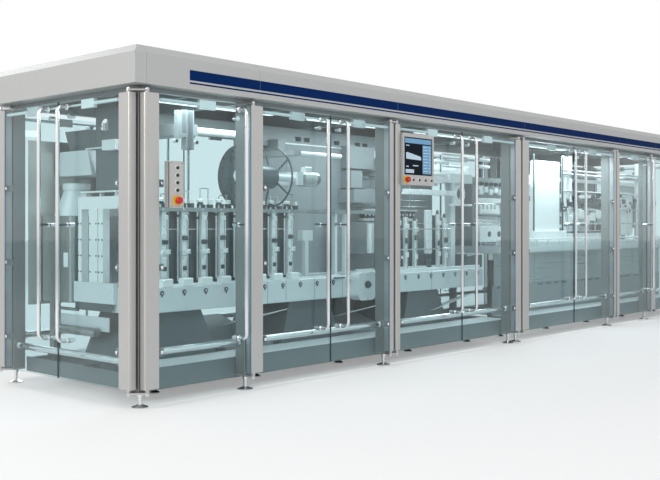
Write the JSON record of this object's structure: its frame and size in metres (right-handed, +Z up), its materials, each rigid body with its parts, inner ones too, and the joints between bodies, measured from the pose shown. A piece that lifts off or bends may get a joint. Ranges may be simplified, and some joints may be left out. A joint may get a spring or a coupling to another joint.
{
  "type": "guarded flow wrap packaging machine",
  "caption": "Long packaging line machine behind glass guard doors under a bevelled steel hood, with film reel, sealing bars, bed and outfeed conveyor.",
  "frame": {"origin": "centre of the footprint, on the floor", "axes": "+X along the line from the film reel end to the outfeed, +Y from the operator's side to the back, +Z up"},
  "size_m": [10.091, 2.0163, 2.4],
  "materials": {
    "satin_steel": "satin, vertical grain",
    "hood_steel": "satin",
    "polished_steel": "polished",
    "guard_glass": "clear, faint teal",
    "blue_film": "semi-gloss",
    "machine_plate": "satin anodised",
    "bright_plate": "bead blasted",
    "dark_plate": "satin",
    "machine_paint": "satin",
    "panel_paint": "fine texture",
    "button_black": "semi-gloss",
    "film": "glossy"
  },
  "bodies": {
    "root": {"base_frame": "machine_paint", "bed_pedestals": "machine_paint", "bulkhead": "machine_paint", "drip_trays": "satin_steel", "fixed_door_frames": "satin_steel", "fixed_door_glass": "guard_glass", "guard_columns": "satin_steel", "head_beam": "machine_plate", "header_frame": "satin_steel", "hood_back": "hood_steel", "hood_ends": "hood_steel", "hood_front": "hood_steel", "hood_stripe": "blue_film", "hopper": "satin_steel", "infeed_cabinet": "satin_steel", "jaw_plates": "dark_plate", "levelling_feet": "polished_steel", "lower_rails": "polished_steel", "machine_bed": "machine_plate", "outfeed_chute": "bright_plate", "outfeed_table": "machine_plate", "outfeed_towers": "machine_plate", "pack_carriers": "bright_plate", "pivot_plates": "satin_steel", "rear_cabinets": "machine_paint", "reel_arm": "machine_paint", "reel_motor": "satin_steel", "roof_ribs": "satin_steel", "roof_sheets": "hood_steel", "seal_bars": "bright_plate", "support_legs": "machine_paint", "transfer_head": "bright_plate", "web_rollers": "bright_plate"},
    "bay1_door": {"bay1_door_frame": "satin_steel", "bay1_door_glass": "guard_glass", "button_box": "panel_paint", "button_box_buttons": "button_black"},
    "bay2_door_left": {"bay2_door_left_frame": "satin_steel", "bay2_door_left_glass": "guard_glass"},
    "bay2_door_right": {"bay2_door_right_frame": "satin_steel", "bay2_door_right_glass": "guard_glass"},
    "bay3_door_left": {"bay3_door_left_frame": "satin_steel", "bay3_door_left_glass": "guard_glass", "control_panel": "panel_paint", "control_panel_buttons": "button_black"},
    "bay3_door_right": {"bay3_door_right_frame": "satin_steel", "bay3_door_right_glass": "guard_glass"},
    "bay4_door_left": {"bay4_door_left_frame": "satin_steel", "bay4_door_left_glass": "guard_glass"},
    "bay4_door_right": {"bay4_door_right_frame": "satin_steel", "bay4_door_right_glass": "guard_glass"},
    "bay5_door": {"bay5_door_frame": "satin_steel", "bay5_door_glass": "guard_glass"},
    "end_door_far": {"end_door_far_frame": "satin_steel", "end_door_far_glass": "guard_glass"},
    "end_door_near": {"end_door_near_frame": "satin_steel", "end_door_near_glass": "guard_glass"},
    "film_reel": {"film_roll": "film", "reel_flanges": "dark_plate"}
  },
  "joints": [
    {"name": "bay1_door_hinge", "type": "hinge", "parent": "root", "child": "bay1_door", "pos_m": [-4.8515, -0.897, 0.104], "axis": [0, 0, -1], "range_deg": [0, 85]},
    {"name": "bay2_door_left_hinge", "type": "hinge", "parent": "root", "child": "bay2_door_left", "pos_m": [-3.8915, -0.897, 0.104], "axis": [0, 0, -1], "range_deg": [0, 85]},
    {"name": "bay2_door_right_hinge", "type": "hinge", "parent": "root", "child": "bay2_door_right", "pos_m": [-2.2625, -0.897, 0.104], "axis": [0, 0, 1], "range_deg": [0, 85]},
    {"name": "bay3_door_left_hinge", "type": "hinge", "parent": "root", "child": "bay3_door_left", "pos_m": [-2.1745, -0.897, 0.104], "axis": [0, 0, -1], "range_deg": [0, 85]},
    {"name": "bay3_door_right_hinge", "type": "hinge", "parent": "root", "child": "bay3_door_right", "pos_m": [-0.1315, -0.897, 0.104], "axis": [0, 0, 1], "range_deg": [0, 85]},
    {"name": "bay4_door_left_hinge", "type": "hinge", "parent": "root", "child": "bay4_door_left", "pos_m": [-0.0355, -0.897, 0.104], "axis": [0, 0, -1], "range_deg": [0, 85]},
    {"name": "bay4_door_right_hinge", "type": "hinge", "parent": "root", "child": "bay4_door_right", "pos_m": [2.0835, -0.897, 0.104], "axis": [0, 0, 1], "range_deg": [0, 85]},
    {"name": "bay5_door_hinge", "type": "hinge", "parent": "root", "child": "bay5_door", "pos_m": [2.1715, -0.897, 0.104], "axis": [0, 0, -1], "range_deg": [0, 85]},
    {"name": "end_door_far_hinge", "type": "hinge", "parent": "root", "child": "end_door_far", "pos_m": [-4.9375, 0.811, 0.104], "axis": [0, 0, -1], "range_deg": [0, 85]},
    {"name": "end_door_near_hinge", "type": "hinge", "parent": "root", "child": "end_door_near", "pos_m": [-4.9375, -0.811, 0.104], "axis": [0, 0, 1], "range_deg": [0, 85]},
    {"name": "film_reel_spin", "type": "hinge", "parent": "root", "child": "film_reel", "pos_m": [-3.4055, -0.415, 1.61], "axis": [1, 0, 0], "continuous": true}
  ]
}
